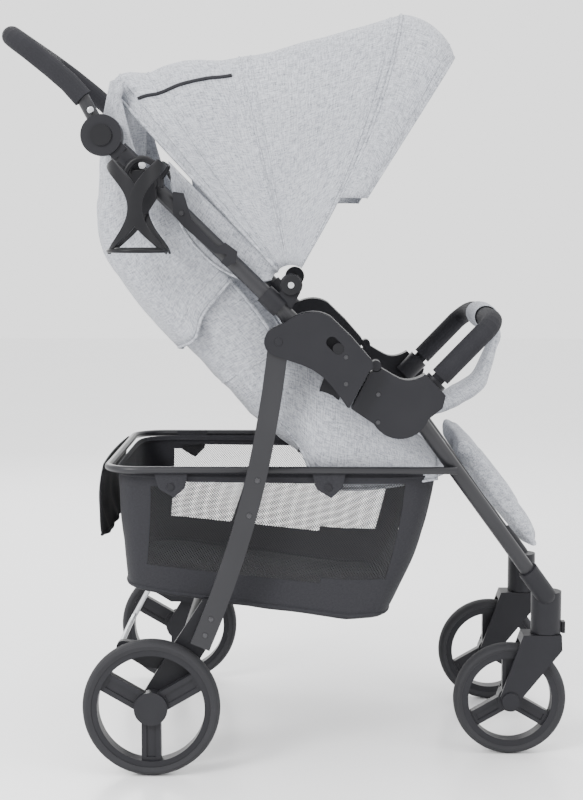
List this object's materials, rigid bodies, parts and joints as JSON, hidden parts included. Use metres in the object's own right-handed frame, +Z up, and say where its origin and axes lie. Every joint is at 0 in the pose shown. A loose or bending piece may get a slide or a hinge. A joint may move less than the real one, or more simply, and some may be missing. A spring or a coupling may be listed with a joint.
{
  "type": "folding pushchair",
  "caption": "Folding pushchair with a tilting handle, canopy, reclining seat, bumper bar, shopping basket, swivel front wheels and braked rear wheels.",
  "frame": {"origin": "on the ground, under the middle of the whole box; the pushchair's own middle plane is at Y 0.03024, because the cup holder reaches out on the right", "axes": "+X forward, +Y to the left of the child, +Z up"},
  "size_m": [0.7662, 0.5704, 1.0209],
  "materials": {
    "frame_paint": "satin",
    "shell_plastic": "matte",
    "trim_plastic": "matte",
    "foam": "matte",
    "tyre": "matte",
    "rim_plastic": "matte",
    "grey_cloth": "matte",
    "black_cloth": "matte",
    "steel": "satin"
  },
  "bodies": {
    "front_frame": {"front_leg_left": "frame_paint", "front_leg_right": "frame_paint", "armrest_front_left": "shell_plastic", "armrest_front_right": "shell_plastic", "swivel_housing_left": "shell_plastic", "swivel_housing_right": "shell_plastic", "footrest_bar": "frame_paint", "seat_bar": "frame_paint", "basket_rim": "frame_paint", "basket_bag": "black_cloth", "seat_pad": "grey_cloth", "seat_sides": "grey_cloth", "front_screws": "steel", "crotch_strap": "grey_cloth"},
    "upper_frame": {"push_tube_left": "frame_paint", "push_tube_right": "frame_paint", "armrest_rear_left": "shell_plastic", "armrest_rear_right": "shell_plastic", "handle_hub_left": "shell_plastic", "handle_hub_right": "shell_plastic", "canopy_bracket_left": "shell_plastic", "canopy_bracket_right": "shell_plastic", "canopy_rear": "grey_cloth", "cup_holder": "shell_plastic", "rear_screws": "steel"},
    "handle": {"handle_bar": "frame_paint", "handle_grip": "foam"},
    "button_left": {"handle_button_left": "trim_plastic"},
    "button_right": {"handle_button_right": "trim_plastic"},
    "hook": {"fold_hook": "shell_plastic"},
    "slider_left": {"lock_slider_left": "trim_plastic"},
    "slider_right": {"lock_slider_right": "trim_plastic"},
    "rear_frame": {"rear_leg_left": "frame_paint", "rear_leg_right": "frame_paint", "rear_foot_left": "shell_plastic", "rear_foot_right": "shell_plastic", "rear_axle_tube": "frame_paint"},
    "brake": {"brake_arms": "shell_plastic", "brake_bar": "steel"},
    "rear_wheel_left": {"rear_tyre_left": "tyre", "rear_rim_left": "rim_plastic", "rear_cap_left": "rim_plastic"},
    "rear_wheel_right": {"rear_tyre_right": "tyre", "rear_rim_right": "rim_plastic", "rear_cap_right": "rim_plastic"},
    "caster_left": {"fork_left": "shell_plastic"},
    "caster_right": {"fork_right": "shell_plastic"},
    "front_wheel_left": {"front_tyre_left": "tyre", "front_rim_left": "rim_plastic"},
    "front_wheel_right": {"front_tyre_right": "tyre", "front_rim_right": "rim_plastic"},
    "swivel_lock_left": {"swivel_lock_left": "trim_plastic"},
    "swivel_lock_right": {"swivel_lock_right": "trim_plastic"},
    "canopy": {"canopy_bow": "frame_paint", "canopy_hood": "grey_cloth", "canopy_visor": "grey_cloth"},
    "backrest": {"backrest_board": "black_cloth", "backrest_pad": "grey_cloth"},
    "legrest": {"legrest": "grey_cloth"},
    "bumper": {"bumper_bar": "foam"}
  },
  "joints": [
    {"name": "frame_fold", "type": "hinge", "parent": "front_frame", "child": "upper_frame", "pos_m": [0.11335, 0.03024, 0.55], "axis": [0, 1, 0], "range_deg": [0, 127], "deforming": ["seat_sides", "basket_bag"]},
    {"name": "rear_leg_fold", "type": "hinge", "parent": "upper_frame", "child": "rear_frame", "pos_m": [-0.01465, 0.03024, 0.583], "axis": [0, -1, 0], "range_deg": [0, 142.7]},
    {"name": "handle_tilt", "type": "hinge", "parent": "upper_frame", "child": "handle", "pos_m": [-0.24565, 0.03024, 0.851], "axis": [0, 1, 0], "range_deg": [-45, 20]},
    {"name": "handle_button_left_press", "type": "slide", "parent": "upper_frame", "child": "button_left", "axis": [0, -1, 0], "range_m": [0, 0.003], "stiffness_N_per_m": 600, "springref_m": -0.002},
    {"name": "handle_button_right_press", "type": "slide", "parent": "upper_frame", "child": "button_right", "axis": [0, 1, 0], "range_m": [0, 0.003], "stiffness_N_per_m": 600, "springref_m": -0.002},
    {"name": "fold_hook_swing", "type": "hinge", "parent": "upper_frame", "child": "hook", "pos_m": [-0.14165, 0.03024, 0.75], "axis": [0, -1, 0], "range_deg": [0, 35]},
    {"name": "lock_left_slide", "type": "slide", "parent": "upper_frame", "child": "slider_left", "axis": [-0.7071, 0, 0.7071], "range_m": [0, 0.012], "stiffness_N_per_m": 300, "springref_m": -0.003},
    {"name": "lock_right_slide", "type": "slide", "parent": "upper_frame", "child": "slider_right", "axis": [-0.7071, 0, 0.7071], "range_m": [0, 0.012], "stiffness_N_per_m": 300, "springref_m": -0.003},
    {"name": "brake_press", "type": "hinge", "parent": "rear_frame", "child": "brake", "pos_m": [-0.16065, 0.03024, 0.15], "axis": [0, -1, 0], "range_deg": [0, 15]},
    {"name": "rear_wheel_left_spin", "type": "hinge", "parent": "rear_frame", "child": "rear_wheel_left", "pos_m": [-0.18565, 0.27124, 0.0925], "axis": [0, 1, 0], "continuous": true},
    {"name": "rear_wheel_right_spin", "type": "hinge", "parent": "rear_frame", "child": "rear_wheel_right", "pos_m": [-0.18565, -0.21076, 0.0925], "axis": [0, 1, 0], "continuous": true},
    {"name": "caster_left_swivel", "type": "hinge", "parent": "front_frame", "child": "caster_left", "pos_m": [0.35435, 0.16924, 0.172], "axis": [0, 0, 1], "continuous": true},
    {"name": "caster_right_swivel", "type": "hinge", "parent": "front_frame", "child": "caster_right", "pos_m": [0.35435, -0.10876, 0.172], "axis": [0, 0, 1], "continuous": true},
    {"name": "front_wheel_left_spin", "type": "hinge", "parent": "caster_left", "child": "front_wheel_left", "pos_m": [0.30485, 0.16924, 0.0784], "axis": [0, 1, 0], "continuous": true},
    {"name": "front_wheel_right_spin", "type": "hinge", "parent": "caster_right", "child": "front_wheel_right", "pos_m": [0.30485, -0.10876, 0.0784], "axis": [0, 1, 0], "continuous": true},
    {"name": "swivel_lock_left_slide", "type": "slide", "parent": "front_frame", "child": "swivel_lock_left", "axis": [0, 0, 1], "range_m": [0, 0.006]},
    {"name": "swivel_lock_right_slide", "type": "slide", "parent": "front_frame", "child": "swivel_lock_right", "axis": [0, 0, 1], "range_m": [0, 0.006]},
    {"name": "canopy_fold", "type": "hinge", "parent": "upper_frame", "child": "canopy", "pos_m": [0.00135, 0.03024, 0.656], "axis": [0, 1, 0], "range_deg": [-58, 0], "deforming": ["canopy_hood", "canopy_rear", "canopy_visor"]},
    {"name": "backrest_recline", "type": "hinge", "parent": "upper_frame", "child": "backrest", "pos_m": [0.01735, 0.03024, 0.44], "axis": [0, 1, 0], "range_deg": [-20, 14], "deforming": ["backrest_pad"]},
    {"name": "legrest_lift", "type": "hinge", "parent": "front_frame", "child": "legrest", "pos_m": [0.23335, 0.03024, 0.438], "axis": [0, 1, 0], "range_deg": [-45, 0]},
    {"name": "bumper_pull", "type": "slide", "parent": "front_frame", "child": "bumper", "axis": [-0.6947, 0, -0.7193], "range_m": [-0.045, 0], "deforming": ["crotch_strap"]}
  ],
  "couplings": [
    {"joint": "rear_leg_fold", "follows": "frame_fold", "ratio": 1.1236}
  ]
}
